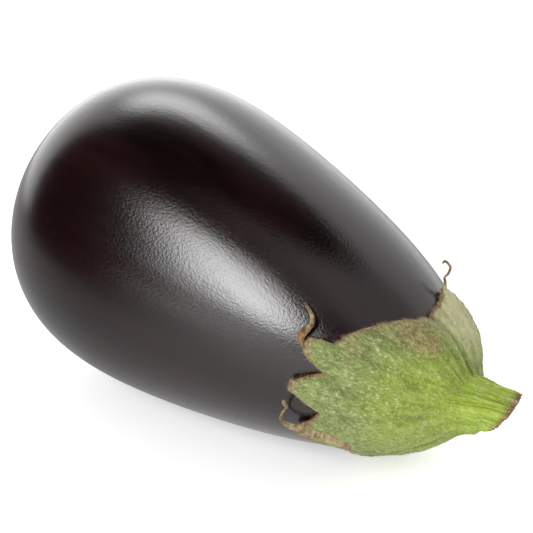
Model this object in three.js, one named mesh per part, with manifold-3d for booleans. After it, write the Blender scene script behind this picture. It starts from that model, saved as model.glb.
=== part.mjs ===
// An eggplant as picked, lying on its side: one glossy berry, and the green cap with its stalk that holds it to the
// plant. The cap's lobes end in withered tips. Millimetres, +Z up. The origin is the middle of the small flat spot
// that the berry rests on, and the stalk points along +X.
import * as THREE from "three";
import { mergeVertices } from "three/addons/utils/BufferGeometryUtils.js";
import Module from "manifold-3d";

const wasm = await Module();
wasm.setup();

// The berry's size. A station is a distance from the blossom end along the berry's axis.
const BERRY_LENGTH = 154;
const FULLNESS = [0.957, 0.538, 0.464, 0.482]; // from blossom end to neck, as a share of a round outline
const FLAT_DEPTH = 0.8; // how far the resting spot is pressed in
const REST_STATION = 75.3; // the station of the resting spot, under the weight
const BLOSSOM_SCAR = { depth: 1.5, radius: 6.5 };
const OUT_OF_ROUND = [
  { lobes: 2, share: 0.005, towards: 70 },
  { lobes: 3, share: 0.003, towards: 20 },
];

// The cap lies on the neck with a hair's gap, thin at its edge and thick round the stalk.
const CAP_GAP = 0.3;
const CAP_EDGE_THICKNESS = 1.1;
const CAP_THICKNESS = 2.3;
const LOBE_LIFT = 0.11; // how far a lobe stands off the berry, for each millimetre past the line of the notches
const NOTCH_STATION = 131;
const SHOULDER_STATION = 146; // where the cap starts to sweep up into the stalk

// The cap's edge: angle round the axis, from the top towards -Y, and station. Notches and lobe tips alternate.
const CAP_EDGE = [
  [-20, 136.8], [-13, 139.0], [-5, 140.3], [3, 141.2], [12, 141.9], [22, 140.3], [31, 138.3], [38, 136.2],
  [45, 134.1], [51, 132.1], [57, 130.6], [62, 129.3], [63, 125.6], [65, 123.2], [69.5, 122.6], [74, 125.0],
  [78.5, 129.7], [83, 126.4], [87, 122.9], [92, 122.7], [96, 125.8], [103, 130.6], [110, 128.6],
  [114.5, 125.6], [119, 123.8], [125, 125.4], [131, 128.6], [138, 133.6], [150, 134.8], [160, 132.6],
  [167, 129.6], [173, 127.4], [179, 129.8], [186, 132.8], [194, 130.6], [201, 126.8], [208, 123.2],
  [216, 126.6], [225, 130.8], [236, 133.8], [248, 130.4], [258, 125.6], [266, 122.4], [274, 127.0],
  [284, 132.6], [297, 137.6], [308, 139.6], [320, 139.2], [331, 138.0], [340, 136.8],
];
const COLUMN_SPAN = 3.8; // the widest step round the cap, in degrees

// The veins that run from the stalk to the lobes, and the swelling above the widest gap between two lobes.
const VEINS = { angles: [-20, 22, 68, 90, 119, 173, 208, 266], height: 0.45, width: 5 };
const SWELLING = { angle: 26, station: 145.5, height: 1.5, radius: 6 };

// The stalk: it bends off the berry's axis and is cut on a slant. Offsets are along the axis, towards -Y and up.
const STALK_END = new THREE.Vector3(12.5, 2.3, 3.0);
const STALK_BEND = new THREE.Vector3(6.8, 0.3, 2.5);
const CUT_FACES = new THREE.Vector3(0.8, 0.41, -0.44);
const STALK_RADIUS = { root: 7.2, waist: 5.7, cut: 5.5 };
const STALK_RIBS = { count: 5, share: 0.05 };

// The withered ends of the lobes. Each point is angle, station and height over the berry.
const WITHERED_TIPS = [
  { radius: 0.9, points: [[-16, 139.6, 1.0], [-18, 137.2, 1.9], [-19, 135.6, 3.0], [-19, 134.8, 3.6],
    [-21, 134.3, 4.8], [-22, 133.6, 5.7], [-21, 132.5, 6.1], [-20, 131.8, 5.9], [-18, 132.2, 5.3]] },
  { radius: 1.25, points: [[70, 125.6, 1.5], [67, 122.2, 2.1], [62.3, 122.3, 2.6], [58.6, 122.6, 2.5],
    [55.8, 121.8, 2.1], [53.4, 120.2, 1.5], [51.6, 118.3, 1.0]] },
  { radius: 1.3, points: [[117, 130.5, 1.4], [116, 127.7, 1.8], [116.6, 124.4, 2.0], [114.7, 122.1, 2.2],
    [107.2, 121.4, 3.0], [101, 122.9, 3.9], [97.3, 122.5, 4.3], [95.2, 121.7, 4.5]] },
  { radius: 1.1, points: [[173, 130.4, 1.5], [173, 127.0, 1.6], [175, 123.6, 1.4], [178, 120.8, 1.1]] },
  { radius: 1.1, points: [[208, 126.5, 1.7], [208, 122.6, 1.9], [206, 119, 1.8], [202, 116.4, 1.4]] },
  { radius: 1.15, points: [[266, 126, 1.7], [266.5, 121.8, 2.2], [270, 118.4, 3.0], [275, 116.6, 3.4]] },
];
const TIP_RINGS = 14;
const TIP_SIDES = 8;
const TIP_END_SHARE = 0.36; // how thick a tip's end is beside its root

const BERRY_RINGS = 34;
const BERRY_SIDES = 60;

// Where a station lies on the berry's long arc: 0 at the blossom end, pi at the neck.
const arcOf = (station) => Math.acos(1 - (2 * station) / BERRY_LENGTH);
const stationOf = (arc) => (BERRY_LENGTH * (1 - Math.cos(arc))) / 2;
const radians = THREE.MathUtils.degToRad;

// The berry's outline: a round arc of its length, drawn in by the fullness there, and a little out of round.
function berryRadius(arc, angle) {
  const share = stationOf(arc) / BERRY_LENGTH;
  const rest = 1 - share;
  const [blossom, belly, waist, neck] = FULLNESS;
  const fullness =
    blossom * rest ** 3 + 3 * belly * share * rest ** 2 + 3 * waist * share ** 2 * rest + neck * share ** 3;
  const round = OUT_OF_ROUND.reduce(
    (sum, wave) => sum + wave.share * Math.cos(wave.lobes * (angle - radians(wave.towards))),
    1,
  );
  return (BERRY_LENGTH / 2) * Math.sin(arc) * fullness * (1 + (round - 1) * Math.sin(arc));
}

// A point on the berry, or at a height over it, in the berry's own frame: its axis is +X and its top is +Z.
function berryPoint(arc, angle, height = 0) {
  const step = 0.002;
  const radius = berryRadius(arc, angle);
  const along = stationOf(arc + step) - stationOf(arc - step);
  const out = berryRadius(arc + step, angle) - berryRadius(arc - step, angle);
  const slope = Math.hypot(along, out);
  const dimple = BLOSSOM_SCAR.depth * Math.exp(-((radius / BLOSSOM_SCAR.radius) ** 2)) * (arc < 1 ? 1 : 0);
  const station = stationOf(arc) + dimple - (height * out) / slope;
  const reach = radius + (height * along) / slope;
  return new THREE.Vector3(station, -reach * Math.sin(angle), reach * Math.cos(angle));
}

// A closed skin over rings of points. Its first and last rings are single points, and the rest run round an axis.
function skin(rings, sides, place) {
  const outline = Array.from({ length: rings + 1 }, (_, ring) => new THREE.Vector2(ring % rings ? 1 : 0, ring));
  const geometry = new THREE.LatheGeometry(outline, sides);
  const position = geometry.getAttribute("position");
  for (let i = 0; i < position.count; i++) {
    const side = Math.floor(i / (rings + 1)) % sides;
    const point = place(i % (rings + 1), side);
    position.setXYZ(i, point.x, point.y, point.z);
  }
  geometry.deleteAttribute("normal");
  geometry.deleteAttribute("uv");
  return mergeVertices(geometry, 1e-4);
}

function solid(geometry) {
  const vertProperties = geometry.getAttribute("position").array;
  const triVerts = new Uint32Array(geometry.index.array);
  return new wasm.Manifold(new wasm.Mesh({ numProp: 3, vertProperties, triVerts }));
}

function geometryOf(manifold) {
  const mesh = manifold.getMesh();
  const geometry = new THREE.BufferGeometry();
  geometry.setAttribute("position", new THREE.BufferAttribute(mesh.vertProperties, 3));
  geometry.setIndex(new THREE.BufferAttribute(mesh.triVerts, 1));
  geometry.computeVertexNormals();
  return geometry;
}

// How the eggplant lies: its neck hangs lower than its belly, by the slope of the outline at the resting spot.
function lyingFrame() {
  const arc = arcOf(REST_STATION);
  const step = 0.001;
  const run = stationOf(arc + step) - stationOf(arc - step);
  const rise = berryRadius(arc + step, Math.PI) - berryRadius(arc - step, Math.PI);
  const frame = new THREE.Group();
  frame.rotation.y = -Math.atan2(rise, run);
  const spot = berryPoint(arc, Math.PI).applyEuler(frame.rotation);
  frame.position.set(-spot.x, 0, -spot.z - FLAT_DEPTH);
  frame.updateMatrixWorld(true);
  return frame;
}

// The berry, with its dimpled blossom scar, and the flat spot cut by the surface it lies on.
function berry(frame) {
  const body = skin(BERRY_RINGS, BERRY_SIDES, (ring, side) =>
    berryPoint((Math.PI * ring) / BERRY_RINGS, (2 * Math.PI * side) / BERRY_SIDES),
  );
  const ground = new THREE.BoxGeometry(2 * BERRY_LENGTH, BERRY_LENGTH, 20).translate(0, 0, -10);
  ground.applyMatrix4(frame.matrixWorld.clone().invert());
  ground.deleteAttribute("normal");
  ground.deleteAttribute("uv");
  return geometryOf(solid(body).subtract(solid(mergeVertices(ground, 1e-4))));
}

// The columns of the cap: every point of its edge, and enough between them.
function capColumns() {
  const columns = [];
  for (let i = 0; i + 1 < CAP_EDGE.length; i++) {
    const [from, fromStation] = CAP_EDGE[i];
    const [to, toStation] = CAP_EDGE[i + 1];
    const steps = Math.ceil((to - from) / COLUMN_SPAN);
    for (let k = 0; k < steps; k++) {
      const share = k / steps;
      columns.push({
        angle: radians(from + (to - from) * share),
        edge: fromStation + (toStation - fromStation) * share,
      });
    }
  }
  return columns;
}

const turn = (from, to) => Math.atan2(Math.sin(to - from), Math.cos(to - from));

// How far the cap's outside stands over the berry at an arc and angle, share 0 at the edge and 1 at the shoulder.
function capHeight(arc, angle, share) {
  const body = CAP_EDGE_THICKNESS + (CAP_THICKNESS - CAP_EDGE_THICKNESS) * Math.sqrt(share);
  const across = (other) => turn(angle, radians(other)) * berryRadius(arc, angle);
  const vein = VEINS.angles.reduce((sum, a) => sum + Math.exp(-((across(a) / (VEINS.width / 2)) ** 2)), 0);
  const along = stationOf(arc) - SWELLING.station;
  const near = Math.hypot(across(SWELLING.angle), along) / SWELLING.radius;
  return body + VEINS.height * vein * (0.4 + 0.6 * share) + SWELLING.height * Math.exp(-(near ** 2));
}

const lobeLift = (station) => CAP_GAP + LOBE_LIFT * Math.max(0, NOTCH_STATION - station);

// The stalk's middle line, from inside the neck to the cut, and a point round it.
const neckEnd = new THREE.Vector3(BERRY_LENGTH, 0, 0);
const stalkLine = new THREE.QuadraticBezierCurve3(
  neckEnd,
  neckEnd.clone().add(STALK_BEND),
  neckEnd.clone().add(STALK_END),
);
const STALK_START = 0.34; // the share of the middle line where the stalk's own side begins

function stalkPoint(share, angle) {
  const centre = stalkLine.getPoint(share);
  const along = stalkLine.getTangent(share);
  const side = new THREE.Vector3(0, -1, 0).addScaledVector(along, along.y).normalize();
  const up = new THREE.Vector3().crossVectors(side, along);
  const grown = THREE.MathUtils.smoothstep(share, STALK_START, 0.8);
  const late = THREE.MathUtils.smoothstep(share, 0.75, 1);
  const smooth = THREE.MathUtils.lerp(STALK_RADIUS.root, STALK_RADIUS.waist, grown);
  const ribs = 1 + STALK_RIBS.share * Math.cos(STALK_RIBS.count * angle);
  const radius = THREE.MathUtils.lerp(smooth, STALK_RADIUS.cut, late) * ribs;
  const point = centre.clone();
  point.addScaledVector(side, radius * Math.sin(angle)).addScaledVector(up, radius * Math.cos(angle));
  const cutShare = THREE.MathUtils.smoothstep(share, STALK_START, 1);
  const slant = -point.clone().sub(centre).dot(CUT_FACES) / along.dot(CUT_FACES);
  return point.addScaledVector(along, slant * cutShare);
}

// The sweep from the cap's shoulder up to the stalk's root.
function flarePoint(column, share) {
  const shoulder = arcOf(SHOULDER_STATION);
  const outside = (arc) => berryPoint(arc, column.angle, CAP_GAP + capHeight(arc, column.angle, 1));
  const from = outside(shoulder);
  const onward = outside(shoulder + 0.02).sub(from).normalize();
  const to = stalkPoint(STALK_START, column.angle);
  const back = stalkPoint(STALK_START + 0.05, column.angle).sub(to).normalize();
  const pull = from.distanceTo(to) * 0.4;
  const sweep = new THREE.CubicBezierCurve3(
    from,
    from.clone().addScaledVector(onward, pull),
    to.clone().addScaledVector(back, -pull * 0.3),
    to,
  );
  return sweep.getPoint(share);
}

// The cap and stalk in one closed skin: up the inside from the neck, round the edge, over the outside, up the stalk
// and across the cut.
function capAndStalk() {
  const columns = capColumns();
  const shoulder = arcOf(SHOULDER_STATION);
  const over = (column, share, height) => {
    const arc = THREE.MathUtils.lerp(arcOf(column.edge), shoulder, share);
    return berryPoint(arc, column.angle, height(arc));
  };
  const underNeck = (share) => (column) =>
    berryPoint(THREE.MathUtils.lerp(shoulder, Math.PI, share), column.angle, CAP_GAP);
  const inside = (share) => (column) => over(column, share, (arc) => lobeLift(stationOf(arc)));
  const outside = (share) => (column) =>
    over(column, share, (arc) => lobeLift(stationOf(arc)) + capHeight(arc, column.angle, share));
  const rings = [
    () => berryPoint(Math.PI, 0, CAP_GAP),
    ...[0.72, 0.48, 0.24].map(underNeck),
    ...[1, 0.8, 0.6, 0.4, 0.2, 0].map(inside),
    ...[0, 0.08, 0.22, 0.4, 0.6, 0.8, 1].map(outside),
    ...[0.2, 0.4, 0.6, 0.8].map((share) => (column) => flarePoint(column, share)),
    ...[STALK_START, 0.55, 0.8, 1].map((share) => (column) => stalkPoint(share, column.angle)),
    () => stalkLine.getPoint(1),
  ];
  return skin(rings.length - 1, columns.length, (ring, side) => rings[ring](columns[side]));
}

// One withered tip: a thin tapering strand along its points, twisted a little as it dried.
function witheredTip({ radius, points }) {
  const line = new THREE.CatmullRomCurve3(
    points.map(([angle, station, height]) => berryPoint(arcOf(station), radians(angle), height)),
  );
  const frames = line.computeFrenetFrames(TIP_RINGS);
  return skin(TIP_RINGS, TIP_SIDES, (ring, side) => {
    const share = ring / TIP_RINGS;
    const angle = (2 * Math.PI * side) / TIP_SIDES;
    const thick = radius * THREE.MathUtils.lerp(1, TIP_END_SHARE, Math.sqrt(share)) * (ring % TIP_RINGS ? 1 : 0);
    return line
      .getPointAt(share)
      .addScaledVector(frames.normals[ring], thick * Math.cos(angle))
      .addScaledVector(frames.binormals[ring], thick * Math.sin(angle));
  });
}

function calyx() {
  const whole = WITHERED_TIPS.reduce((sum, tip) => sum.add(solid(witheredTip(tip))), solid(capAndStalk()));
  return geometryOf(whole);
}

const skinFinish = new THREE.MeshStandardMaterial({ color: 0x1c0d12, roughness: 0.2, metalness: 0 });
const capFinish = new THREE.MeshStandardMaterial({ color: 0x8fa35c, roughness: 0.75, metalness: 0 });

const eggplant = new THREE.Group();
const lying = lyingFrame();
const berryMesh = new THREE.Mesh(berry(lying), skinFinish);
berryMesh.name = "berry";
const calyxMesh = new THREE.Mesh(calyx(), capFinish);
calyxMesh.name = "calyx_and_stalk";
lying.add(berryMesh, calyxMesh);
eggplant.add(lying);

export default eggplant;
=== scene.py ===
import math

import bpy
import numpy as np
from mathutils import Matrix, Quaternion, Vector, noise


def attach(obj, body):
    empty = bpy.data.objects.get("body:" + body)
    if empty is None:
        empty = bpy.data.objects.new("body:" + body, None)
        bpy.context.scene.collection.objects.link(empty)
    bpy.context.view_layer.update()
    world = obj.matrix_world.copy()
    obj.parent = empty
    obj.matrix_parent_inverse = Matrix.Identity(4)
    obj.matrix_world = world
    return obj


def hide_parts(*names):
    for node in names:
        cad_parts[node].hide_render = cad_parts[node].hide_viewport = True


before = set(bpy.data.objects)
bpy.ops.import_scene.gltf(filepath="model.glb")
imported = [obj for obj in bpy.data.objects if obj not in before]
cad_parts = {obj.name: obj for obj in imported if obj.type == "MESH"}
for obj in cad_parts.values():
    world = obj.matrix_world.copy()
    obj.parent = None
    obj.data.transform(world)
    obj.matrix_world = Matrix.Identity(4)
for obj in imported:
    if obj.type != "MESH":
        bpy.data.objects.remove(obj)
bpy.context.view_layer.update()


# The berry: one closed skin of glossy, nearly black purple over spongy flesh, widest near the blossom end,
# where the flower's dried scar is left in a shallow dimple. It grew from its neck, and it lies on a small
# flat spot that its own weight presses in.

# A station is a distance along the berry's axis from the blossom end. FULLNESS is how full the skin is at
# the blossom end, the belly, the waist and the neck. OUT_OF_ROUND has lobes, share and angle in degrees.
BERRY_LENGTH = 0.154
FULLNESS = (0.957, 0.538, 0.464, 0.482)
OUT_OF_ROUND = ((2, 0.005, 70), (3, 0.003, 20))
FLAT_DEPTH = 0.0008
REST_STATION = 0.0753
BLOSSOM_DEPTH = 0.0015
BLOSSOM_RADIUS = 0.0065
BERRY_RINGS = 200
BERRY_SIDES = 288


def station_at(arc):
    """How far along the axis an arc angle lies: the angle is 0 at the blossom end and pi at the neck."""
    return BERRY_LENGTH * (1 - np.cos(arc)) / 2


def arc_at(station):
    return np.arccos(1 - 2 * np.asarray(station) / BERRY_LENGTH)


def berry_radius(arc, angle):
    share = station_at(arc) / BERRY_LENGTH
    rest = 1 - share
    blossom, belly, waist, neck = FULLNESS
    fullness = blossom * rest**3 + 3 * belly * share * rest**2
    fullness = fullness + 3 * waist * share**2 * rest + neck * share**3
    unround = 0
    for lobes, part, towards in OUT_OF_ROUND:
        unround = unround + part * np.cos(lobes * (angle - np.radians(towards)))
    return BERRY_LENGTH / 2 * np.sin(arc) * fullness * (1 + unround * np.sin(arc))


def on_berry(arc, angle, height=0.0):
    """A point at a height over the skin. The berry's axis is +X here, and angles go from its top to -Y."""
    step = 0.002
    radius = berry_radius(arc, angle)
    along = station_at(arc + step) - station_at(arc - step)
    out = berry_radius(arc + step, angle) - berry_radius(arc - step, angle)
    slope = np.hypot(along, out)
    dimple = BLOSSOM_DEPTH * np.exp(-((radius / BLOSSOM_RADIUS) ** 2)) * (arc < 1)
    station = station_at(arc) + dimple - height * out / slope
    reach = radius + height * along / slope
    return np.stack(np.broadcast_arrays(station, -reach * np.sin(angle), reach * np.cos(angle)), axis=-1)


rest_arc = arc_at(REST_STATION)
rise = berry_radius(rest_arc + 0.001, math.pi) - berry_radius(rest_arc - 0.001, math.pi)
run = station_at(rest_arc + 0.001) - station_at(rest_arc - 0.001)
droop = -math.atan2(rise, run)
droop_cos, droop_sin = math.cos(droop), math.sin(droop)
lie_down = np.array([[droop_cos, 0, droop_sin], [0, 1, 0], [-droop_sin, 0, droop_cos]])
lowest = lie_down @ on_berry(rest_arc, math.pi)


def lying(points):
    """Points of the berry's own frame, moved to where the eggplant lies on its flat spot."""
    return points @ lie_down.T - np.array([lowest[0], 0, lowest[2] + FLAT_DEPTH])


def skin_over(name, points, material):
    """A smooth mesh over points [ring, side], closed round its sides and at its first and last ring."""
    rings, sides = points.shape[:2]
    inner = points[1:-1].reshape(-1, 3)
    ends = [points[0, 0], points[-1, 0]]
    side = np.arange(sides)
    onward = (side + 1) % sides
    faces = []
    for ring in range(rings - 3):
        low = ring * sides
        high = low + sides
        faces.append(np.stack([low + side, low + onward, high + onward, high + side], axis=1))
    faces = [tuple(face) for face in np.concatenate(faces).tolist()]
    first, last = len(inner), len(inner) + 1
    top = (rings - 3) * sides
    faces += [(first, b, a) for a, b in zip(side.tolist(), onward.tolist())]
    faces += [(last, top + a, top + b) for a, b in zip(side.tolist(), onward.tolist())]
    mesh = bpy.data.meshes.new(name)
    mesh.from_pydata(np.concatenate([inner, ends]).tolist(), [], faces)
    mesh.shade_smooth()
    mesh.materials.append(material)
    piece = bpy.data.objects.new(name, mesh)
    bpy.context.collection.objects.link(piece)
    return piece


def set_inputs(tree, node, inputs):
    """Set a node's inputs, or link them where they are another node's output."""
    for socket, value in inputs.items():
        if hasattr(value, "is_output"):
            tree.links.new(value, node.inputs[socket])
        else:
            node.inputs[socket].default_value = value


def add_node(tree, kind, inputs, **settings):
    node = tree.nodes.new(kind)
    for key, value in settings.items():
        setattr(node, key, value)
    set_inputs(tree, node, inputs)
    return node


def worked(tree, operation, *values):
    """The outcome of a sum on one, two or three numbers."""
    return add_node(tree, "ShaderNodeMath", dict(enumerate(values)), operation=operation).outputs[0]


def brought(tree, value, start, end, low=0.0, high=1.0, rise="LINEAR"):
    """A number that goes from low to high as a value goes from start to end."""
    inputs = {"Value": value, 1: start, 2: end, 3: low, 4: high}
    return add_node(tree, "ShaderNodeMapRange", inputs, interpolation_type=rise).outputs[0]


def blended(tree, share, under, over):
    """A share of one colour laid over another."""
    inputs = {"Factor": share, 6: under, 7: over}
    return add_node(tree, "ShaderNodeMix", inputs, data_type="RGBA").outputs[2]


def length_of(tree, place):
    return add_node(tree, "ShaderNodeVectorMath", {0: place}, operation="LENGTH").outputs["Value"]


def mottling(tree, place, scale, detail, roughness=0.5):
    """A soft random pattern from 0 to 1."""
    inputs = {"Vector": place, "Scale": scale, "Detail": detail, "Roughness": roughness}
    return add_node(tree, "ShaderNodeTexNoise", inputs).outputs["Fac"]


def stretched(tree, place, scale):
    return add_node(tree, "ShaderNodeMapping", {"Vector": place, "Scale": scale}).outputs[0]


def ramp(tree, value, *stops):
    """The colour for a value, from stops of a value and a colour."""
    node = add_node(tree, "ShaderNodeValToRGB", {"Fac": value})
    points = node.color_ramp.elements
    while len(points) < len(stops):
        points.new(1.0)
    for point, (where, colour) in zip(points, stops):
        point.position = where
        point.color = (*colour, 1)
    return node.outputs["Color"]


def bumped(tree, height, distance, strength=1.0):
    inputs = {"Strength": strength, "Distance": distance, "Height": height}
    return add_node(tree, "ShaderNodeBump", inputs).outputs[0]


def along_berry(tree):
    """Places in metres, turned so that X runs along the berry's axis from the blossom end."""
    place = add_node(tree, "ShaderNodeTexCoord", {}).outputs["Object"]
    blossom_end = (lowest[0], 0, lowest[2] + FLAT_DEPTH)
    moved = add_node(tree, "ShaderNodeVectorMath", {0: place, 1: blossom_end}, operation="ADD").outputs[0]
    turn = {"Vector": moved, "Axis": (0, 1, 0), "Angle": -droop}
    return add_node(tree, "ShaderNodeVectorRotate", turn, rotation_type="AXIS_ANGLE").outputs[0]


def new_finish(name):
    """A material with its tree of nodes and its shader."""
    material = bpy.data.materials.new(name)
    material.use_nodes = True
    return material, material.node_tree, material.node_tree.nodes["Principled BSDF"]


SKIN_BLACK = (0.0024, 0.0004, 0.0004)
SKIN_PLUM = (0.0105, 0.0022, 0.0025)
SCAR_TAN = (0.26, 0.17, 0.09)
SCAR_BROWN = (0.06, 0.030, 0.014)
SCAR_RADIUS = 0.0042
skin, tree, shader = new_finish("glossy_skin")
axis_place = along_berry(tree)
streaks = stretched(tree, axis_place, (12, 90, 90))
streak = mottling(tree, streaks, 1.0, 5.0, 0.6)
tint = ramp(tree, streak, (0.35, SKIN_BLACK), (0.7, SKIN_PLUM))
station = add_node(tree, "ShaderNodeSeparateXYZ", {"Vector": axis_place}).outputs["X"]
no_station = {0: axis_place, 1: (0, 1, 1)}
from_axis = add_node(tree, "ShaderNodeVectorMath", no_station, operation="MULTIPLY").outputs[0]
off_axis = length_of(tree, from_axis)
crumbs = mottling(tree, axis_place, 420.0, 4.0)
ragged = worked(tree, "MULTIPLY_ADD", crumbs, 0.0035, off_axis)
near_axis = brought(tree, ragged, SCAR_RADIUS + 0.0010, SCAR_RADIUS)
at_blossom = worked(tree, "LESS_THAN", station, 0.02)
scar = worked(tree, "MULTIPLY", near_axis, at_blossom)
scar_middle = brought(tree, ragged, SCAR_RADIUS + 0.0004, SCAR_RADIUS - 0.0016)
scar_shade = worked(tree, "MULTIPLY", scar_middle, crumbs)
cork = ramp(tree, scar_shade, (0.0, SCAR_BROWN), (0.3, SCAR_TAN), (0.6, SCAR_BROWN))
skin_roughness = brought(tree, streak, 0.3, 0.7, 0.17, 0.22)
grain = mottling(tree, stretched(tree, axis_place, (1150, 1800, 1800)), 1.0, 3.0, 0.6)
swell = mottling(tree, streaks, 1.6, 2.0)
skin_height = worked(tree, "MULTIPLY_ADD", swell, 1.7, grain)
crust = worked(tree, "MULTIPLY", scar, crumbs)
skin_normal = bumped(tree, worked(tree, "MULTIPLY_ADD", crust, 8.0, skin_height), 0.00006)
set_inputs(tree, shader, {
    "Base Color": blended(tree, scar, tint, cork),
    "Roughness": worked(tree, "MULTIPLY_ADD", scar, 0.5, skin_roughness),
    "IOR": 1.45,
    "Coat Weight": 0.3,
    "Coat Roughness": 0.08,
    "Normal": skin_normal,
    "Coat Normal": skin_normal,
})

ring_arcs = np.linspace(0, math.pi, BERRY_RINGS)
side_angles = np.linspace(0, 2 * math.pi, BERRY_SIDES, endpoint=False)
arcs, angles = np.meshgrid(ring_arcs, side_angles, indexing="ij")
berry_points = lying(on_berry(arcs, angles))
berry_points[..., 2] = np.maximum(berry_points[..., 2], 0)
berry = skin_over("berry_skin", berry_points, skin)
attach(berry, "root")
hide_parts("berry")


# The calyx: a thick leathery green cap, grown on to the neck, with lobes that reach down the berry and dry
# tan at their edges. Fine whitish hairs, corky patches, veins and wrinkles cover it. It sweeps up into the
# stalk, which was cut on a slant and has dried brown there.
CAP_GAP = 0.0003
CAP_EDGE_THICKNESS = 0.0011
CAP_THICKNESS = 0.0023
LOBE_LIFT = 0.11
NOTCH_STATION = 0.131
SHOULDER_STATION = 0.146
INSIDE_ROWS = 16
CAP_ROWS = 62
FLARE_ROWS = 45
STALK_ROWS = 39
CAP_COLUMNS = 500

# The cap's edge: the angle in degrees from the top towards -Y, and the station in millimetres.
CAP_EDGE = (
    (-20, 136.8), (-13, 139.0), (-5, 140.3), (3, 141.2), (12, 141.9), (22, 140.3), (31, 138.3), (38, 136.2),
    (45, 134.1), (51, 132.1), (57, 130.6), (62, 129.3), (63, 125.6), (65, 123.2), (69.5, 122.6), (74, 125.0),
    (78.5, 129.7), (83, 126.4), (87, 122.9), (92, 122.7), (96, 125.8), (103, 130.6), (110, 128.6),
    (114.5, 125.6), (119, 123.8), (125, 125.4), (131, 128.6), (138, 133.6), (150, 134.8), (160, 132.6),
    (167, 129.6), (173, 127.4), (179, 129.8), (186, 132.8), (194, 130.6), (201, 126.8), (208, 123.2),
    (216, 126.6), (225, 130.8), (236, 133.8), (248, 130.4), (258, 125.6), (266, 122.4), (274, 127.0),
    (284, 132.6), (297, 137.6), (308, 139.6), (320, 139.2), (331, 138.0), (340, 136.8),
)
EDGE_RADIUS = 0.027
UNROLLED_RADIUS = 0.022
VEIN_ANGLES = (-20, 22, 68, 90, 119, 173, 208, 266)
VEIN_HEIGHT = 0.00045
VEIN_WIDTH = 0.005
SWELLING_ANGLE = 26
SWELLING_STATION = 0.1455
SWELLING_HEIGHT = 0.0015
SWELLING_RADIUS = 0.006
STALK_END = np.array([12.5, 2.3, 3.0]) / 1000
STALK_BEND = np.array([6.8, 0.3, 2.5]) / 1000
CUT_FACES = np.array([0.8, 0.41, -0.44])
STALK_ROOT_RADIUS = 0.0072
STALK_WAIST_RADIUS = 0.0057
STALK_CUT_RADIUS = 0.0055
STALK_START = 0.34
FLARE_PULL = 0.4

# The creases: how deep each one is, then the stations in millimetres and the angles that it runs through.
CREASES = (
    (0.00060, ((130, 13), (141, 12), (146, 9), (151, 3), (156, -6), (167, -14))),
    (0.00018, ((132, -16), (141, -12), (147, -14), (152, -22), (167, -30))),
    (0.00024, ((135, 30), (141, 28), (147, 24), (152, 16), (167, 6))),
    (0.00018, ((132, 46), (140, 44), (148, 38), (153, 30), (167, 22))),
    (0.00022, ((126, 63), (134, 62), (146, 58), (153, 50), (167, 44))),
    (0.00012, ((127, 79), (136, 78), (148, 74), (167, 66))),
    (0.00018, ((128, 104), (138, 102), (150, 97), (167, 90))),
    (0.00034, ((132, 148), (142, 146), (167, 138))),
    (0.00034, ((130, 189), (142, 188), (167, 182))),
    (0.00034, ((132, 238), (142, 236), (167, 228))),
    (0.00034, ((137, 305), (146, 304), (167, 290))),
)
CREASE_WIDTH = 0.0010


def smooth(value, low, high):
    share = np.clip((value - low) / (high - low), 0, 1)
    return share * share * (3 - 2 * share)


def noise_over(points, size, seed=0, detail=3):
    """Soft lumps of about a size, from -1 to 1, at each of an array of points."""
    flat = points.reshape(-1, 3) / size + seed * 7.3
    values = [noise.fractal(Vector(p), 1.0, 2.0, detail) for p in flat.tolist()]
    return np.array(values).reshape(points.shape[:-1])


cap_angle = np.radians(np.linspace(-20, 340, CAP_COLUMNS, endpoint=False))
edge_degrees = [place[0] for place in CAP_EDGE]
edge_stations = [place[1] / 1000 for place in CAP_EDGE]
edge_station = np.interp(np.degrees(cap_angle), edge_degrees, edge_stations)
circle = np.stack([np.cos(cap_angle), np.sin(cap_angle), np.zeros(CAP_COLUMNS)], axis=-1)
round_edge = circle * EDGE_RADIUS
nicks = 0.00035 * noise_over(round_edge, 0.0012, seed=1)
waves = 0.0003 * noise_over(round_edge, 0.004, seed=2)
edge_station += nicks + waves
edge_arc = arc_at(edge_station)
shoulder_arc = arc_at(SHOULDER_STATION)


def cap_height(arc, angle, share):
    """How far the cap's outside stands over its inside, with its veins and its one round swelling."""
    body = CAP_EDGE_THICKNESS + (CAP_THICKNESS - CAP_EDGE_THICKNESS) * np.sqrt(share)
    radius = berry_radius(arc, angle)

    def across(other):
        apart = angle - math.radians(other)
        return np.arctan2(np.sin(apart), np.cos(apart)) * radius

    veins = sum(np.exp(-((across(vein) / (VEIN_WIDTH / 2)) ** 2)) for vein in VEIN_ANGLES)
    near = np.hypot(across(SWELLING_ANGLE), station_at(arc) - SWELLING_STATION) / SWELLING_RADIUS
    return body + VEIN_HEIGHT * veins * (0.4 + 0.6 * share) + SWELLING_HEIGHT * np.exp(-(near**2))


def lobe_lift(arc):
    return CAP_GAP + LOBE_LIFT * np.maximum(0, NOTCH_STATION - station_at(arc))


def cap_ring(share, outside):
    arc = edge_arc + (shoulder_arc - edge_arc) * share
    height = lobe_lift(arc) + (cap_height(arc, cap_angle, share) if outside else 0)
    return on_berry(arc, cap_angle, height)


def edge_ring(turn):
    """The rounded rim between the inside at turn 0 and the outside at turn 1."""
    roundness = 0.0004 * math.sin(math.pi * turn)
    arc = arc_at(edge_station - roundness)
    return on_berry(arc, cap_angle, lobe_lift(edge_arc) + cap_height(edge_arc, cap_angle, 0.0) * turn)


neck_end = np.array([BERRY_LENGTH, 0, 0])


def stalk_line(share):
    return neck_end + 2 * share * (1 - share) * STALK_BEND + share**2 * STALK_END


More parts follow.
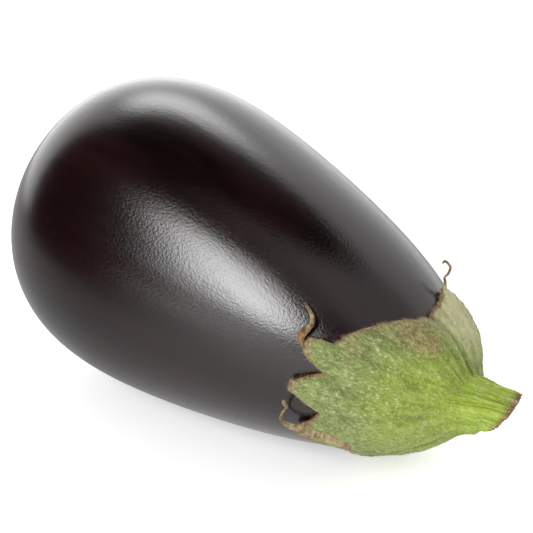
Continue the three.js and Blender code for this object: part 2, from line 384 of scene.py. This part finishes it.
def stalk_ring(share, shrink=1.0):
    centre = stalk_line(share)
    along = 2 * (1 - 2 * share) * STALK_BEND + 2 * share * STALK_END
    along = along / np.linalg.norm(along)
    side = np.array([0, -1, 0]) + along * along[1]
    side = side / np.linalg.norm(side)
    up = np.cross(side, along)
    radius = STALK_ROOT_RADIUS + (STALK_WAIST_RADIUS - STALK_ROOT_RADIUS) * smooth(share, STALK_START, 0.8)
    radius += (STALK_CUT_RADIUS - radius) * smooth(share, 0.75, 1)
    ribs = 1 + 0.05 * np.cos(5 * cap_angle) + 0.022 * np.cos(13 * cap_angle + 1)
    ribs += 0.012 * np.cos(29 * cap_angle)
    reach = (radius * ribs * shrink)[:, None]
    points = centre + reach * (np.sin(cap_angle)[:, None] * side + np.cos(cap_angle)[:, None] * up)
    slant = -((points - centre) @ CUT_FACES) / (along @ CUT_FACES)
    return points + (slant * smooth(share, STALK_START, 1))[:, None] * along


def flare_ring(share):
    """The sweep from the cap's shoulder up to the stalk's root."""
    start = on_berry(shoulder_arc, cap_angle, CAP_GAP + cap_height(shoulder_arc, cap_angle, 1))
    ahead = shoulder_arc + 0.02
    onward = on_berry(ahead, cap_angle, CAP_GAP + cap_height(ahead, cap_angle, 1)) - start
    onward /= np.linalg.norm(onward, axis=1)[:, None]
    end = stalk_ring(STALK_START)
    back = stalk_ring(STALK_START + 0.05) - end
    back /= np.linalg.norm(back, axis=1)[:, None]
    pull = np.linalg.norm(end - start, axis=1)[:, None] * FLARE_PULL
    rest = 1 - share
    first = start + onward * pull
    second = end - back * pull * 0.3
    return rest**3 * start + 3 * rest**2 * share * first + 3 * rest * share**2 * second + share**3 * end


# Its skin starts on the neck inside, runs out to the edge and round the rim, and comes back over the outside
# and up the stalk to the middle of the cut.
to_neck = math.pi - shoulder_arc
under_arcs = [shoulder_arc + to_neck * share for share in (1, 0.75, 0.5, 0.25)]
under_neck = [on_berry(arc, cap_angle, CAP_GAP) for arc in under_arcs]
inside = [cap_ring(share, False) for share in np.linspace(1, 0, INSIDE_ROWS)]
rim = [edge_ring(turn) for turn in (0.2, 0.4, 0.6, 0.8)]
from_edge = np.linspace(0, 1, CAP_ROWS) ** 1.15
outside = [cap_ring(share, True) for share in from_edge]
flare = [flare_ring(share) for share in np.linspace(0, 1, FLARE_ROWS + 1)[1:]]
stalk = [stalk_ring(share) for share in np.linspace(STALK_START, 1, STALK_ROWS + 1)[1:]]
cut_end = [stalk_ring(1.0, shrink) for shrink in (0.985, 0.93, 0.8, 0.6, 0.35, 0.1, 0)]
cap = np.array(under_neck + inside + rim + outside + flare + stalk + cut_end)
first_out = len(under_neck) + len(inside) + len(rim)
shoulder_row = first_out + CAP_ROWS
last_out = shoulder_row + FLARE_ROWS + STALK_ROWS
on_cap = slice(first_out, shoulder_row)


def skin_ways(points):
    """At each point of a grid [ring, side], the way out of the skin and the way on to the next ring."""
    across = np.roll(points, -1, axis=1) - np.roll(points, 1, axis=1)
    onward = np.gradient(points, axis=0)
    out = np.cross(across, onward)
    out /= np.maximum(np.linalg.norm(out, axis=2), 1e-12)[..., None]
    onward /= np.maximum(np.linalg.norm(onward, axis=2), 1e-12)[..., None]
    return out, onward


# The wrinkles and lumps of its skin, pushed out along the surface and faded out under the cap.
RIDGE_HEIGHT = 0.00024
FINE_RIDGE_HEIGHT = 0.00012
WRINKLE_HEIGHT = 0.00017
LUMP_HEIGHT = 0.00042
RAISED_FULL = 0.00045
relief_shown = np.zeros(len(cap))
relief_shown[first_out:last_out] = 1
relief_shown[first_out : first_out + 6] = np.linspace(0.2, 1, 6)
relief_shown[last_out - 3 : last_out] = (0.9, 0.8, 0.7)
relief_shown[last_out : last_out + 5] = (0.35, 0.3, 0.3, 0.25, 0.1)
show = relief_shown[:, None]
outer = slice(first_out, len(cap) - 1)
lumps = np.zeros(cap.shape[:2])
cap_turn = np.broadcast_to(cap_angle, cap.shape[:2])
turned_up, turned_side = np.cos(cap_turn) * UNROLLED_RADIUS, np.sin(cap_turn) * UNROLLED_RADIUS
unrolled = np.stack([cap[..., 0] * 0.35, turned_up, turned_side], axis=-1)
lumps[outer] = WRINKLE_HEIGHT * noise_over(unrolled[outer], 0.0023, seed=4, detail=3)
lumps[outer] += RIDGE_HEIGHT * (1 - 3 * np.abs(noise_over(unrolled[outer], 0.0034, seed=6, detail=2)))
lumps[outer] += FINE_RIDGE_HEIGHT * (1 - 3 * np.abs(noise_over(cap[outer], 0.0019, seed=5, detail=2)))
ring_middle = cap.mean(axis=1, keepdims=True)
ring_reach = np.linalg.norm((cap - ring_middle)[..., 1:], axis=2)
for depth, places in CREASES:
    line = np.radians(np.interp(cap[..., 0] * 1000, *zip(*places)))
    off_line = ((cap_turn - line + math.pi) % (2 * math.pi) - math.pi) * ring_reach
    groove = np.exp(-((off_line / CREASE_WIDTH) ** 2))
    lip = np.exp(-(((off_line + 1.9 * CREASE_WIDTH) / CREASE_WIDTH) ** 2))
    lumps[outer] += (depth * (0.6 * lip - groove))[outer]
# How far each place stands out of the cap's skin. The calyx's finish uses it to paint shade into the hollows
# and highlights onto the ridges.
raised = lumps * show / RAISED_FULL
raised[shoulder_row:last_out] *= np.linspace(1, 0.35, last_out - shoulder_row)[:, None]
lumps[outer] += LUMP_HEIGHT * noise_over(cap[outer], 0.0085, seed=3, detail=2)
cap = lying(cap + skin_ways(cap)[0] * (lumps * show)[..., None])

CALYX_GREEN = (0.152, 0.20, 0.056)
CALYX_BRIGHT = (0.225, 0.315, 0.006)
CALYX_PALE = (0.27, 0.305, 0.135)
CALYX_DEEP = (0.105, 0.14, 0.028)
BRIGHT_PALE = (0.33, 0.42, 0.04)
BRIGHT_DEEP = (0.14, 0.21, 0.005)
STALK_GREEN = (0.39, 0.51, 0.055, 1)
FURROW_GREEN = (0.17, 0.26, 0.018, 1)
# Next: whitish hair with painted glints, the veins' pale colour that also paints highlights on ridges, and
# painted shade for hollows and the gaps between hairs.
HAIR_WHITE_AND_GLINT = (0.52, 0.55, 0.33, 1)
VEIN_PALE_AND_RIDGE_HIGHLIGHT = (0.42, 0.475, 0.17, 1)
PAINTED_SHADE_OLIVE = (0.085, 0.10, 0.014, 1)
BLEACHED_TAN = (0.60, 0.56, 0.33, 1)
CORK_BROWN = (0.13, 0.080, 0.026)
CORK_OLIVE = (0.29, 0.25, 0.105)
DRIED_BROWN = (0.075, 0.038, 0.015)
DRIED_TAN = (0.23, 0.15, 0.065)
DRIED_PALE = (0.42, 0.34, 0.20)


def painted(tree, name):
    """The values that are painted on a piece under a name."""
    return add_node(tree, "ShaderNodeAttribute", {}, attribute_name=name).outputs["Fac"]


def calyx_finish():
    """Clouded green, brighter towards the stalk, with veins, hairs, cork, dry edges and painted light and
    shade.
    """
    material, tree, shader = new_finish("hairy_green_calyx")
    place = along_berry(tree)
    stalkward_and_lit_side = painted(tree, "stalkward_and_lit_side")
    raised = painted(tree, "raised")
    cloudy = mottling(tree, place, 300.0, 8.0, 0.85)
    greens = ramp(tree, cloudy, (0.33, CALYX_DEEP), (0.5, CALYX_GREEN), (0.68, CALYX_PALE))
    brights = ramp(tree, cloudy, (0.33, BRIGHT_DEEP), (0.5, CALYX_BRIGHT), (0.68, BRIGHT_PALE))
    # Brighter green towards the stalk, with painted light on the side that faces the tall soft box.
    colour = blended(tree, stalkward_and_lit_side, greens, brights)
    on_stalk = brought(tree, stalkward_and_lit_side, 0.66, 0.88, 0.0, 0.5)
    colour = blended(tree, on_stalk, colour, STALK_GREEN)
    colour = blended(tree, painted(tree, "furrow"), colour, FURROW_GREEN)
    veining = mottling(tree, stretched(tree, place, (170, 700, 700)), 1.0, 3.0)
    off_vein = worked(tree, "ABSOLUTE", worked(tree, "SUBTRACT", veining, 0.5))
    vein = brought(tree, off_vein, 0.0, 0.035, 1.0, 0.0)
    colour = blended(tree, worked(tree, "MULTIPLY", vein, 0.5), colour, VEIN_PALE_AND_RIDGE_HIGHLIGHT)
    # Painted shade darkens the hollows of the cap's relief, and a painted highlight lightens its raised
    # ridges.
    painted_hollow_shade = brought(tree, raised, -0.15, -1.5, 0.0, 0.6)
    colour = blended(tree, painted_hollow_shade, colour, PAINTED_SHADE_OLIVE)
    painted_ridge_highlight = brought(tree, raised, 0.25, 1.5, 0.0, 0.55)
    colour = blended(tree, painted_ridge_highlight, colour, VEIN_PALE_AND_RIDGE_HIGHLIGHT)
    hair = mottling(tree, stretched(tree, place, (520, 1700, 1700)), 1.0, 4.0, 0.65)
    hairier = brought(tree, stalkward_and_lit_side, 0.0, 0.9, 1.0, 0.3)
    # Painted shade darkens the gaps between hairs. The hairs' own whitish colour, with painted glints,
    # lightens their tips.
    painted_shade_between_hairs = worked(tree, "MULTIPLY", brought(tree, hair, 0.47, 0.36, 0.0, 0.7), hairier)
    colour = blended(tree, painted_shade_between_hairs, colour, PAINTED_SHADE_OLIVE)
    colour = blended(tree, brought(tree, hair, 0.57, 0.68, 0.0, 0.8), colour, HAIR_WHITE_AND_GLINT)
    speckle = mottling(tree, place, 1100.0, 5.0, 0.75)
    dusty = worked(tree, "MULTIPLY_ADD", speckle, 0.9, painted(tree, "pale"))
    colour = blended(tree, brought(tree, dusty, 0.55, 1.0, 0.0, 0.8), colour, BLEACHED_TAN)
    patchy = worked(tree, "MULTIPLY_ADD", speckle, 0.9, painted(tree, "scurf"))
    cork = ramp(tree, hair, (0.40, CORK_BROWN), (0.56, CORK_OLIVE))
    colour = blended(tree, brought(tree, patchy, 0.55, 1.0, 0.0, 0.85), colour, cork)
    frayed = worked(tree, "MULTIPLY_ADD", speckle, 1.1, painted(tree, "dried"))
    dry = ramp(tree, speckle, (0.38, DRIED_BROWN), (0.52, DRIED_TAN), (0.66, DRIED_PALE))
    colour = blended(tree, brought(tree, frayed, 0.75, 1.15), colour, dry)
    ridged = worked(tree, "MULTIPLY_ADD", vein, 0.35, worked(tree, "ADD", hair, speckle))
    set_inputs(tree, shader, {
        "Base Color": colour,
        "Roughness": 0.66,
        "Specular IOR Level": 0.35,
        "Subsurface Weight": 0.08,
        "Subsurface Radius": (0.4, 0.6, 0.15),
        "Subsurface Scale": 0.002,
        "Sheen Weight": 0.1,
        "Sheen Roughness": 0.4,
        "Normal": bumped(tree, ridged, 0.0003),
    })
    return material


calyx_green = calyx_finish()
calyx = skin_over("calyx_and_stalk_skin", cap, calyx_green)


def paint(piece, name, values):
    """A value for each point of a piece that its finish reads by name."""
    layer = piece.data.attributes.new(name, "FLOAT", "POINT")
    layer.data.foreach_set("value", np.asarray(values, dtype=np.float32).ravel())


def grid_values(values):
    """Values [ring, side] in the order of the mesh's points: the inner rings, then the two ends."""
    return np.concatenate([values[1:-1].ravel(), [values[0, 0], values[-1, 0]]])


def patch(station, degrees, reach):
    """1 at a place on the cap, fading out over a reach."""
    middle = lying(on_berry(arc_at(station), math.radians(degrees), 0.003))
    return np.exp(-((np.linalg.norm(cap - middle, axis=2) / reach) ** 2))


# How dry each place is: most at the cut, along the edge, and on the lobe that hangs below on the near side.
DRY_PATCHES = ((0.1262, 120, 0.0038), (0.1275, 127, 0.0035), (0.1255, 114, 0.003))
BROWNED_ROWS = 16
dried = np.zeros(cap.shape[:2])
dried[:first_out] = 0.25
dried[first_out - len(rim) : first_out] = 0.75
edge_distance = from_edge[:, None] * (SHOULDER_STATION - edge_station)
past_notch = np.clip((NOTCH_STATION - edge_station) / 0.009, 0, 1)
dry_width = 0.0004 + 0.0009 * past_notch
dried[on_cap] = np.exp(-edge_distance / dry_width) * (0.62 + 0.3 * past_notch)
for dry_station, degrees, reach in DRY_PATCHES:
    dried += 0.33 * patch(dry_station, degrees, reach)
to_cut = np.linspace(0, 1, BROWNED_ROWS)[:, None]
browned = to_cut * (0.48 + 0.3 * np.cos(cap_angle - 0.6)) + 0.3 * to_cut**6
dried[last_out - BROWNED_ROWS : last_out] = browned
dried[last_out:] = 0.85
paint(calyx, "dried", grid_values(dried))

# How bright a green it is: brighter towards the stalk, and painted lighter on the side that faces the tall
# soft box.
SHOULDER_BRIGHTNESS = 0.68
rows_above = len(cap) - shoulder_row
lit_side = 0.72 + 0.28 * np.cos(cap_angle - math.radians(62))
stalkward_and_lit_side = np.zeros(cap.shape[:2])
stalkward_and_lit_side[on_cap] = smooth(from_edge, 0.32, 1.0)[:, None] * SHOULDER_BRIGHTNESS * lit_side
stalkward_and_lit_side[shoulder_row:] = np.linspace(SHOULDER_BRIGHTNESS, 1, rows_above)[:, None]
stalkward_and_lit_side[shoulder_row:] *= 1 - (1 - lit_side) * np.linspace(1, 0, rows_above)[:, None]
paint(calyx, "stalkward_and_lit_side", grid_values(stalkward_and_lit_side))

# Its corky scurf, its bleached patches, and the green furrows down its stalk.
FURROWS_START = 24
scurf = 0.6 * patch(0.1460, 28, 0.0032) + 0.45 * patch(0.1425, 33, 0.0045) + 0.25 * patch(0.134, 62, 0.004)
upper_edge = np.exp(-(((cap_angle - math.radians(25)) / 0.7) ** 2))
scurf[on_cap] += 0.44 * np.exp(-edge_distance / 0.0040) * upper_edge
paint(calyx, "scurf", grid_values(scurf))
paint(calyx, "pale", grid_values(0.65 * patch(0.141, -12, 0.0095) + 0.35 * patch(0.147, -30, 0.010)))
furrow = np.zeros(cap.shape[:2])
furrow_rows = last_out - shoulder_row - FURROWS_START
stripes = np.clip(0.15 - 0.5 * np.cos(5 * cap_angle) + 0.35 * np.sin(17 * cap_angle + 0.6), 0, 1)
furrow[last_out - furrow_rows : last_out] = stripes * np.linspace(0, 1, furrow_rows)[:, None] ** 0.5
paint(calyx, "furrow", grid_values(furrow))
paint(calyx, "raised", grid_values(raised))
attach(calyx, "root")
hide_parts("calyx_and_stalk")


# The hairs of the cap: short, stiff and whitish on its face, longer and dry brown along its edge. Each one
# is a slender bent spike that grows out of the skin and leans towards the lobes.
FACE_HAIRS = 4500
EDGE_HAIRS = 2600
HAIR_RADIUS = 0.000035
FACE_HAIR_LENGTH = 0.00055
EDGE_HAIR_LENGTH = 0.0009
WHITISH_HAIR = (0.36, 0.40, 0.19, 1)
BROWN_HAIR = (0.24, 0.16, 0.08, 1)
HAIRY_FLARE_ROWS = 30
SPIKE_FACES = ((2, 1, 0), (0, 1, 4, 3), (1, 2, 5, 4), (2, 0, 3, 5), (3, 4, 6), (4, 5, 6), (5, 3, 6))
chance = np.random.default_rng(4)
skin_out, skin_onward = skin_ways(cap)


def bristles(name, rings, length, upright, finish):
    """Slender bent spikes rooted at random places on some of the cap's rings."""
    columns = chance.integers(0, CAP_COLUMNS, len(rings))
    roots = cap[rings, columns]
    away = skin_out[rings, columns] * upright - skin_onward[rings, columns] * (1 - upright)
    away += 0.45 * chance.normal(size=away.shape)
    away /= np.linalg.norm(away, axis=1)[:, None]
    lengths = length * chance.uniform(0.5, 1.3, len(rings))[:, None]
    droops = chance.normal(size=away.shape) * 0.25 - skin_onward[rings, columns] * 0.3
    turned = np.cross(away, chance.normal(size=away.shape))
    turned /= np.linalg.norm(turned, axis=1)[:, None]
    other = np.cross(away, turned)
    points = []
    for reach, width in ((-0.15, 1.0), (0.5, 0.75)):
        middle = roots + away * lengths * reach + droops * lengths * max(reach, 0) ** 2
        for k in range(3):
            angle = 2 * math.pi * k / 3
            spoke = math.cos(angle) * turned + math.sin(angle) * other
            points.append(middle + HAIR_RADIUS * width * spoke)
    points.append(roots + (away + droops) * lengths)
    grid = np.stack(points, axis=1)
    grid[..., 2] = np.maximum(grid[..., 2], 0.0001)
    corners = len(points)
    faces = [tuple(corners * i + k for k in face) for i in range(len(grid)) for face in SPIKE_FACES]
    mesh = bpy.data.meshes.new(name)
    mesh.from_pydata(grid.reshape(-1, 3).tolist(), [], faces)
    mesh.materials.append(finish)
    piece = bpy.data.objects.new(name, mesh)
    bpy.context.collection.objects.link(piece)
    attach(piece, "root")


def bristle_finish(name, colour):
    material, tree, shader = new_finish(name)
    set_inputs(tree, shader, {"Base Color": colour, "Roughness": 0.6})
    return material


face_rings = chance.integers(first_out + 2, shoulder_row + HAIRY_FLARE_ROWS, FACE_HAIRS)
bristles("face_hairs", face_rings, FACE_HAIR_LENGTH, 0.22, bristle_finish("whitish_hair", WHITISH_HAIR))
edge_rings = chance.integers(first_out - 3, first_out + 3, EDGE_HAIRS)
bristles("edge_hairs", edge_rings, EDGE_HAIR_LENGTH, 0.3, bristle_finish("brown_hair", BROWN_HAIR))


# The withered tips: where a lobe thins out it has died back to a dry brown strand that curls as it dries.
# Each one grows out of its lobe, and is flattened, creased along its length and a little twisted.
TIP_RINGS = 60
TIP_SIDES = 20
TIP_CREASE = 0.22
WITHERED_DARK = (0.045, 0.026, 0.012)
WITHERED_BROWN = (0.17, 0.10, 0.04)
WITHERED_PALE = (0.36, 0.27, 0.14)
RUST_DARK = (0.13, 0.05, 0.012)
RUST_BRIGHT = (0.38, 0.20, 0.05)
CURL_DARK = (0.05, 0.035, 0.022, 1)

# For each tip, how thick it is, then the places it passes: angle, station and height. All in millimetres
# but the angle, which is in degrees.
WITHERED_TIPS = {
    "top_tip": (0.9, (
        (-16, 139.6, 1.0), (-18, 137.2, 1.9), (-19, 135.6, 3.0), (-19, 134.8, 3.6), (-21, 134.3, 4.8),
        (-22, 133.6, 5.7), (-21, 132.5, 6.1), (-20, 131.8, 5.9), (-18, 132.2, 5.3),
    )),
    "front_tip": (1.25, (
        (69, 122.9, 1.5), (66.6, 121.8, 2.1), (63.7, 121.8, 2.5), (61, 122.4, 2.6), (58.6, 122.6, 2.5),
        (55.8, 121.8, 2.1), (53.4, 120.2, 1.5), (51.6, 118.3, 1.0),
    )),
    "low_tip": (1.5, (
        (138, 137.3, 1.2), (131, 136.1, 1.9), (124.2, 135.2, 2.3), (120.3, 133.5, 2.5), (118.5, 131, 2.5),
        (116.8, 128.4, 2.5), (115.5, 125.7, 2.5), (114.5, 123.2, 2.6), (112.1, 121.7, 2.8),
        (108.2, 121.3, 3.1), (102.7, 122.3, 3.7), (99.3, 123.1, 4.2), (96.9, 122.5, 4.5), (95.3, 121.9, 4.6),
    )),
    "under_tip": (1.1, ((173, 130.4, 1.5), (173, 127.0, 1.6), (175, 123.6, 1.4), (178, 120.8, 1.1))),
    "far_low_tip": (1.1, ((208, 126.5, 1.7), (208, 122.6, 1.9), (206, 119, 1.8), (202, 116.4, 1.4))),
    "far_tip": (1.15, ((266, 126, 1.7), (266.5, 121.8, 2.2), (270, 118.4, 3.0), (275, 116.6, 3.4))),
}


def smooth_path(points, count):
    """An even run of points on the curve through a few."""
    points = np.asarray(points, dtype=float)
    ends = np.concatenate([[2 * points[0] - points[1]], points, [2 * points[-1] - points[-2]]])
    fine = []
    for i in range(len(points) - 1):
        a, b, c, d = ends[i : i + 4]
        t = np.linspace(0, 1, 24, endpoint=False)[:, None]
        bend = (2 * a - 5 * b + 4 * c - d) * t**2 + (3 * b - a - 3 * c + d) * t**3
        fine.append(0.5 * (2 * b + (c - a) * t + bend))
    fine = np.concatenate(fine + [points[-1:]])
    gone = np.concatenate([[0], np.cumsum(np.linalg.norm(np.diff(fine, axis=0), axis=1))])
    even = np.linspace(0, gone[-1], count)
    return np.stack([np.interp(even, gone, fine[:, k]) for k in range(3)], axis=1)


def strand(path, widths, flatness, twist, lean):
    """Rings of a flattened, creased strand along a path. It leans at its root and twists on from there."""
    tangents = np.gradient(path, axis=0)
    tangents /= np.linalg.norm(tangents, axis=1)[:, None]
    across = np.cross(tangents[0], [0.3, 0.2, 1.0])
    rings = []
    turns = np.linspace(0, 2 * math.pi, TIP_SIDES, endpoint=False)
    reach = 1 - TIP_CREASE * np.exp(-((np.sin((turns - math.pi / 2) / 2) / 0.3) ** 2))
    x, y = np.cos(turns) * reach, np.sin(turns) * reach * flatness
    for i, (centre, tangent) in enumerate(zip(path, tangents)):
        across = across - tangent * (across @ tangent)
        across /= np.linalg.norm(across)
        over = np.cross(tangent, across)
        spun = lean + twist * i / len(path)
        u = x * math.cos(spun) - y * math.sin(spun)
        v = x * math.sin(spun) + y * math.cos(spun)
        rings.append(centre + widths[i] * (u[:, None] * across + v[:, None] * over))
    return np.array(rings)


def bulge(along, middle, reach):
    """1 at a share of the way along a strand, fading out over a reach."""
    return np.exp(-(((along - middle) / reach) ** 2))


def paint_along(tip, name, values):
    paint(tip, name, grid_values(np.repeat(values[:, None], TIP_SIDES, axis=1)))


def withered_finish():
    """Fibrous brown, with painted shares of rust, of tan that is still pale, and of a dark curl."""
    material, tree, shader = new_finish("withered_brown")
    place = along_berry(tree)
    fibre = mottling(tree, place, 900.0, 5.0, 0.7)
    both = worked(tree, "MULTIPLY", fibre, mottling(tree, place, 330.0, 3.0))
    colour = ramp(tree, both, (0.15, WITHERED_DARK), (0.25, WITHERED_BROWN), (0.36, WITHERED_PALE))
    rust = ramp(tree, both, (0.15, RUST_DARK), (0.34, RUST_BRIGHT))
    colour = blended(tree, painted(tree, "rusty"), colour, rust)
    colour = blended(tree, painted(tree, "fresh"), colour, BLEACHED_TAN)
    colour = blended(tree, painted(tree, "dark"), colour, CURL_DARK)
    normal = bumped(tree, fibre, 0.0002, 0.8)
    set_inputs(tree, shader, {"Base Color": colour, "Roughness": 0.75, "Normal": normal})
    return material


withered_brown = withered_finish()
for tip_name, (thickness, places) in WITHERED_TIPS.items():
    coarse = [on_berry(arc_at(s / 1000), math.radians(a), h / 1000) for a, s, h in places]
    path = lying(smooth_path(coarse, TIP_RINGS))
    path += 0.00012 * np.stack([noise_over(path, 0.002, seed=k) for k in (11, 12, 13)], axis=1)
    along = np.linspace(0, 1, TIP_RINGS)
    widths = thickness / 1000 * (1 - 0.64 * np.sqrt(along)) * (1 + 0.16 * noise_over(path, 0.0013, seed=14))
    flatness, twist, lean = 0.72, 2.5, 0.0
    dark = 0.2 * along
    rusty = 0.25 * bulge(along, 0.2, 0.14)
    fresh = np.zeros(TIP_RINGS)
    if tip_name == "top_tip":
        dark = 0.8 * bulge(along, 0.42, 0.06)
        fresh = 0.6 * np.exp(-((along / 0.3) ** 4))
    if tip_name == "front_tip":
        widths *= 1 + 0.6 * bulge(along, 0.24, 0.12)
        rusty = 0.8 * bulge(along, 0.2, 0.14)
    if tip_name == "low_tip":
        widths *= 1 + 0.35 * bulge(along, 0.3, 0.2)
        widths *= 1 + 0.3 * noise_over(path, 0.0011, seed=15)
        flatness, twist, lean = 0.5, 1.0, 1.3
        fresh = np.clip(0.08 + 0.5 * noise_over(path, 0.0012, seed=16), 0, 1)
    widths[0] = widths[-1] = 0
    widths[1] *= 0.8
    widths[-2] *= 0.7
    tip = skin_over(tip_name, strand(path, widths, flatness, twist, lean), withered_brown)
    paint_along(tip, "dark", dark)
    paint_along(tip, "rusty", rusty)
    paint_along(tip, "fresh", fresh)
    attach(tip, "root")


# The surface and the light: a white table top, faintly lit from below, that runs back to a white wall which
# the skin mirrors along its far edge. Two soft boxes stand over the near side, and a lamp hangs high over
# the far side.
bpy.ops.mesh.primitive_plane_add(size=6, location=(0, 0, 0))
surface = bpy.context.object
surface.name = "white_surface"
white, tree, shader = new_finish("white_surface")
set_inputs(tree, shader, {
    "Base Color": (0.93, 0.93, 0.93, 1),
    "Roughness": 0.9,
    "Emission Color": (1, 1, 1, 1),
    "Emission Strength": 0.38,
})
surface.data.materials.append(white)

WALL_FACES = (-0.315, 0.916, -0.25)
SIDE_WALL_FACES = (0.64, 0.06, 0.766)
WALL_TOP_FACES = (-0.150, 0.087, 0.985)
TOP_LIGHT_TOWARDS = (-0.44, 0.41, 0.799)
WALL_GLOW = 1.25
NEAR_WALL_FACES = (-0.93, 0.36, 0.05)
NEAR_WALL_GLOW = 0.8
SIDE_WALL_GLOW = 0.75
TOP_LIGHT_GLOW = 4.6
ROOM_GLOW = 0.018
studio = bpy.data.worlds.new("studio")
studio.use_nodes = True
sky = studio.node_tree
looking = add_node(sky, "ShaderNodeTexCoord", {}).outputs["Generated"]


def reach_towards(tree, place, way):
    """How far a place lies in a direction."""
    inputs = {0: place, 1: way}
    return add_node(tree, "ShaderNodeVectorMath", inputs, operation="DOT_PRODUCT").outputs["Value"]


def glow_towards(way, starts, full, most):
    """A glow that rises smoothly as the view turns towards a direction."""
    return brought(sky, reach_towards(sky, looking, way), starts, full, 0.0, most, "SMOOTHSTEP")


back_wall = glow_towards(WALL_FACES, -0.10, 0.06, WALL_GLOW)
side_wall = glow_towards(SIDE_WALL_FACES, 0.55, 0.88, SIDE_WALL_GLOW)
near_wall = glow_towards(NEAR_WALL_FACES, 0.7, 0.97, NEAR_WALL_GLOW)
top_light = glow_towards(TOP_LIGHT_TOWARDS, 0.945, 0.996, TOP_LIGHT_GLOW)
walls = worked(sky, "MAXIMUM", back_wall, side_wall)
for light in (near_wall, top_light):
    walls = worked(sky, "ADD", walls, light)
over_the_top = glow_towards(WALL_TOP_FACES, 0.900, 0.926, 1.0)
lit_walls = worked(sky, "MULTIPLY", walls, worked(sky, "SUBTRACT", 1.0, over_the_top))
glow = worked(sky, "ADD", lit_walls, ROOM_GLOW)
set_inputs(sky, sky.nodes["Background"], {"Color": (1, 1, 1, 1), "Strength": glow})
bpy.context.scene.world = studio

LIT_PLACE = Vector((0, 0, 0.045))
CLOTH_BRIGHT_REACH = 0.20
CLOTH_REACH = 0.50


def soft_box(name, bearing, height_angle, wide_angle, tall_angle, brightness, lean=0, away=1.0):
    """A soft box as seen from the berry: its bearing, height, width and tallness are in degrees."""
    bearing, lifted = math.radians(bearing), math.radians(height_angle)
    level = math.cos(lifted)
    towards = Vector((math.cos(bearing) * level, math.sin(bearing) * level, math.sin(lifted)))
    data = bpy.data.lights.new(name, "AREA")
    data.shape = "ELLIPSE"
    data.size = 2 * away * math.tan(math.radians(wide_angle / 2))
    data.size_y = 2 * away * math.tan(math.radians(tall_angle / 2))
    data.energy = brightness * math.pi * (math.pi / 4) * data.size * data.size_y
    data.use_nodes = True
    lamp = data.node_tree
    cloth = add_node(lamp, "ShaderNodeNewGeometry", {}).outputs["Parametric"]
    middle = {0: cloth, 1: (0.5, 0.5, 0)}
    from_middle = add_node(lamp, "ShaderNodeVectorMath", middle, operation="SUBTRACT").outputs[0]
    off_middle = length_of(lamp, from_middle)
    fading = brought(lamp, off_middle, CLOTH_BRIGHT_REACH, CLOTH_REACH, 1.0, 0.0, "SMOOTHSTEP")
    set_inputs(lamp, lamp.nodes["Emission"], {"Strength": fading})
    light = bpy.data.objects.new(name, data)
    light.location = LIT_PLACE + towards * away
    aimed = (-towards).to_track_quat("-Z", "Y")
    light.rotation_euler = (aimed @ Quaternion((0, 0, 1), math.radians(lean))).to_euler()
    light.visible_camera = False
    bpy.context.collection.objects.link(light)


soft_box(
    "tall_soft_box", bearing=-85.5, height_angle=27, wide_angle=25, tall_angle=57, brightness=14, lean=22
)
soft_box("low_soft_box", bearing=-91, height_angle=14, wide_angle=29, tall_angle=39, brightness=4.5)

# A dark sheet lies past the table's near left side, seen by nothing but the skin's own mirror: it paints
# shade into the table's reflection in the skin.
SHADE_SHEET_REACH = 3.0
SHADE_SHEET_HEIGHT = 0.0004
SHADE_SHEET_ENDS = (0.3, 0.6)
SHADE_SHEET_BLACK = (0.004, 0.004, 0.004, 1)
TO_LEFT = (-0.94, 0.342, 0)
TO_FRONT = (0.309, -0.951, 0)
shade_sheet_mesh = bpy.data.meshes.new("painted_shade_sheet")
right, back = SHADE_SHEET_ENDS
corners = ((-SHADE_SHEET_REACH, -SHADE_SHEET_REACH), (right, -SHADE_SHEET_REACH), (right, back), (-SHADE_SHEET_REACH, back))
shade_sheet_mesh.from_pydata([(x, y, SHADE_SHEET_HEIGHT) for x, y in corners], [], [(0, 1, 2, 3)])
shade_sheet = bpy.data.objects.new("painted_shade_sheet", shade_sheet_mesh)
bpy.context.collection.objects.link(shade_sheet)
shade_sheet_finish, tree, shader = new_finish("painted_shade_sheet")
lies = add_node(tree, "ShaderNodeTexCoord", {}).outputs["Object"]
to_left = brought(tree, reach_towards(tree, lies, TO_LEFT), -0.09, 0.03, rise="SMOOTHSTEP")
to_front = brought(tree, reach_towards(tree, lies, TO_FRONT), 0.02, 0.20, 0.6, 0.98, "SMOOTHSTEP")
set_inputs(tree, shader, {
    "Base Color": SHADE_SHEET_BLACK,
    "Roughness": 1,
    "Specular IOR Level": 0,
    "Alpha": worked(tree, "MULTIPLY", to_left, to_front),
})
shade_sheet_mesh.materials.append(shade_sheet_finish)
shade_sheet.visible_camera = False
shade_sheet.visible_diffuse = False
shade_sheet.visible_shadow = False

# The camera stands at the stalk's end on the near side, a little above, and looks along the berry.
CAMERA_PLACE = Vector((0.249739, -0.250901, 0.170261 - FLAT_DEPTH))
CAMERA_LOOKS = Vector((-0.63847, 0.69105, -0.33881))
camera_data = bpy.data.cameras.new("camera")
camera_data.lens = 85
camera_data.sensor_width = 36
camera = bpy.data.objects.new("camera", camera_data)
camera.location = CAMERA_PLACE
camera.rotation_euler = CAMERA_LOOKS.to_track_quat("-Z", "Y").to_euler()
bpy.context.collection.objects.link(camera)
bpy.context.scene.camera = camera

bpy.context.scene.view_settings.view_transform = "Standard"
